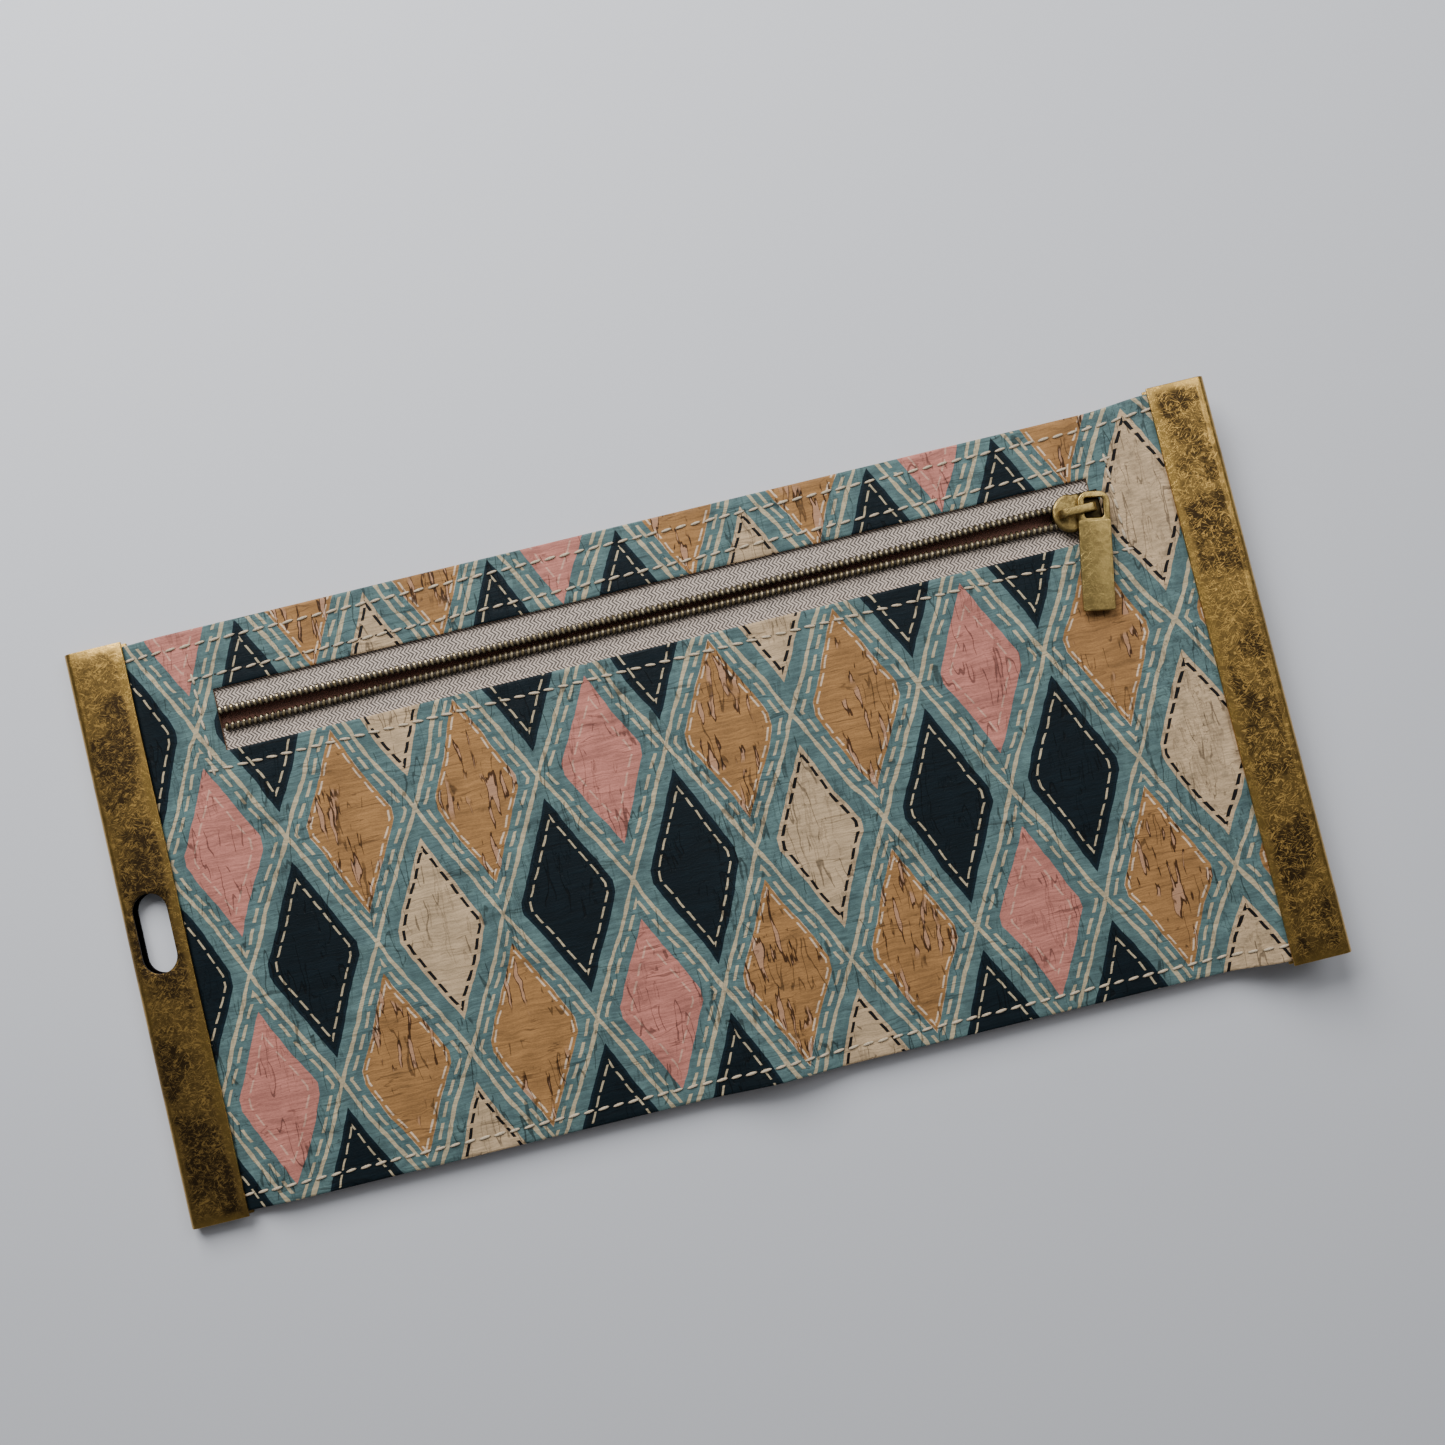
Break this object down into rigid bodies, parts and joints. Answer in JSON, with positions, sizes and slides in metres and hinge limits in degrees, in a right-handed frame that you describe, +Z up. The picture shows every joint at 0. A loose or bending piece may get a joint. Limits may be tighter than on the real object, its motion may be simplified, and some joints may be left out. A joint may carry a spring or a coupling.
{
  "type": "cork wallet",
  "caption": "Long cork-fabric wallet, open and flat, with a zip pocket, folded brass end bars and a turn latch.",
  "frame": {"origin": "on the surface that the wallet lies on, below the middle of its outline", "axes": "+X along the length toward the bar with the turn latch, +Y toward the edge with the zip, +Z up from the table through the outside"},
  "size_m": [0.2086, 0.104, 0.0082],
  "materials": {
    "printed_cork": "printed natural cork, fine grain",
    "inner_cloth": "plain natural cloth",
    "lining": "plain lining cloth",
    "zip_tape": "woven herringbone tape",
    "zip_coil": "metallised nylon coil",
    "antique_brass": "antique brass, brushed, worn bright at the edges"
  },
  "bodies": {
    "wallet_body": {"outer_panel": "printed_cork", "inner_panel": "inner_cloth", "pocket_lining": "lining", "zip_tape_upper": "zip_tape", "zip_tape_lower": "zip_tape", "coil_upper": "zip_coil", "coil_lower": "zip_coil", "card_pocket_left_1": "inner_cloth", "card_pocket_left_2": "inner_cloth", "card_pocket_left_3": "inner_cloth", "card_pocket_right_1": "inner_cloth", "card_pocket_right_2": "inner_cloth", "card_pocket_right_3": "inner_cloth", "slotted_bar": "antique_brass", "latch_bar": "antique_brass", "latch_bushing": "antique_brass", "latch_washer": "antique_brass"},
    "slider_body": {"zip_slider": "antique_brass"},
    "pull_body": {"zip_pull": "antique_brass"},
    "knob_body": {"latch_knob": "antique_brass"}
  },
  "joints": [
    {"name": "zip_slide", "type": "slide", "parent": "wallet_body", "child": "slider_body", "axis": [1, 0, 0], "range_m": [-0.15, 0]},
    {"name": "pull_swivel", "type": "hinge", "parent": "slider_body", "child": "pull_body", "pos_m": [0.08041, 0.0342, 0.005], "axis": [0, 0, 1], "range_deg": [-38, 10]},
    {"name": "latch_turn", "type": "hinge", "parent": "wallet_body", "child": "knob_body", "pos_m": [0.09897, 0, 0.002], "axis": [0, 0, 1], "range_deg": [0, 90]}
  ]
}
